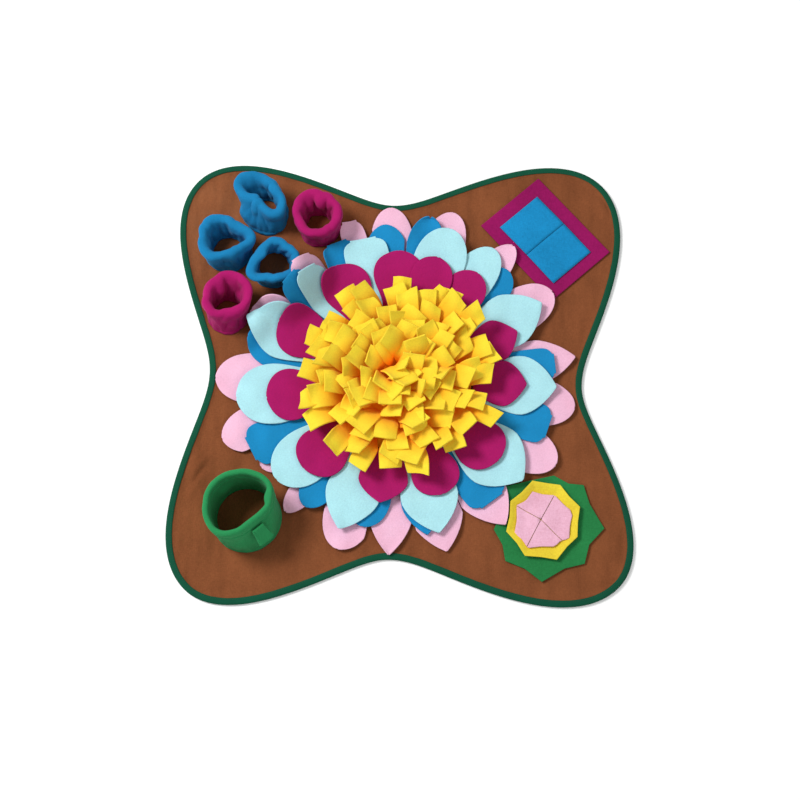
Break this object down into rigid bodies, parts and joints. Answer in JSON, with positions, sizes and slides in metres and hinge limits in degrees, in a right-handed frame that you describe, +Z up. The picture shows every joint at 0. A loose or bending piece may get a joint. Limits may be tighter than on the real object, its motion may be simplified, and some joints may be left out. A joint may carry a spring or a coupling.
{
  "type": "snuffle mat",
  "caption": "Lobed felt snuffle mat with a bound edge, a fleece flower with a strip pile, open fleece cups and slit felt pockets to hide dry treats in.",
  "frame": {"origin": "on the floor under the middle of the mat's outline", "axes": "+Z up off the floor, +Y towards the lobes with the small cups and the square pocket, +X towards the pockets' side"},
  "size_m": [0.5966, 0.6042, 0.072],
  "materials": {
    "brown_felt": "felt, matt and fibrous",
    "dark_green_tape": "woven tape, matt",
    "yellow_fleece": "fleece, soft and matt",
    "blue_fleece": "fleece, soft and matt",
    "magenta_fleece": "fleece, soft and matt",
    "light_blue_fleece": "fleece, soft and matt",
    "pink_fleece": "fleece, soft and matt",
    "green_fleece": "fleece, soft and matt",
    "magenta_felt": "felt, matt",
    "blue_felt": "felt, matt",
    "green_felt": "felt, matt",
    "yellow_felt": "felt, matt",
    "pink_felt": "felt, matt"
  },
  "bodies": {
    "root": {"base_felt": "brown_felt", "binding": "dark_green_tape", "pile_yellow": "yellow_fleece", "cup_blue_left": "blue_fleece", "cup_blue_top": "blue_fleece", "cup_blue_inner": "blue_fleece", "cup_magenta_right": "magenta_fleece", "cup_magenta_left": "magenta_fleece", "cup_green": "green_fleece", "green_cup_tab": "green_fleece", "petal_magenta_01": "magenta_fleece", "petal_magenta_02": "magenta_fleece", "petal_magenta_03": "magenta_fleece", "petal_magenta_04": "magenta_fleece", "petal_magenta_05": "magenta_fleece", "petal_magenta_06": "magenta_fleece", "petal_magenta_07": "magenta_fleece", "petal_magenta_08": "magenta_fleece", "petal_magenta_09": "magenta_fleece", "petal_magenta_10": "magenta_fleece", "petal_magenta_11": "magenta_fleece", "petal_magenta_12": "magenta_fleece", "petal_light_blue_01": "light_blue_fleece", "petal_light_blue_02": "light_blue_fleece", "petal_light_blue_03": "light_blue_fleece", "petal_light_blue_04": "light_blue_fleece", "petal_light_blue_05": "light_blue_fleece", "petal_light_blue_06": "light_blue_fleece", "petal_light_blue_07": "light_blue_fleece", "petal_light_blue_08": "light_blue_fleece", "petal_light_blue_09": "light_blue_fleece", "petal_light_blue_10": "light_blue_fleece", "petal_light_blue_11": "light_blue_fleece", "petal_light_blue_12": "light_blue_fleece", "petal_strip_blue_1": "blue_fleece", "petal_strip_blue_2": "blue_fleece", "petal_strip_blue_3": "blue_fleece", "petal_strip_blue_4": "blue_fleece", "petal_strip_blue_5": "blue_fleece", "petal_strip_pink_1": "pink_fleece", "petal_strip_pink_2": "pink_fleece", "petal_strip_pink_3": "pink_fleece", "petal_strip_pink_4": "pink_fleece", "petal_strip_pink_5": "pink_fleece", "petal_strip_pink_6": "pink_fleece", "pocket_square": "magenta_felt", "pocket_flap_upper": "blue_felt", "pocket_flap_lower": "blue_felt", "pocket_star": "green_felt", "pocket_octagon": "yellow_felt", "pocket_pink_flap_1": "pink_felt", "pocket_pink_flap_2": "pink_felt", "pocket_pink_flap_3": "pink_felt", "pocket_pink_flap_4": "pink_felt"}
  },
  "joints": []
}
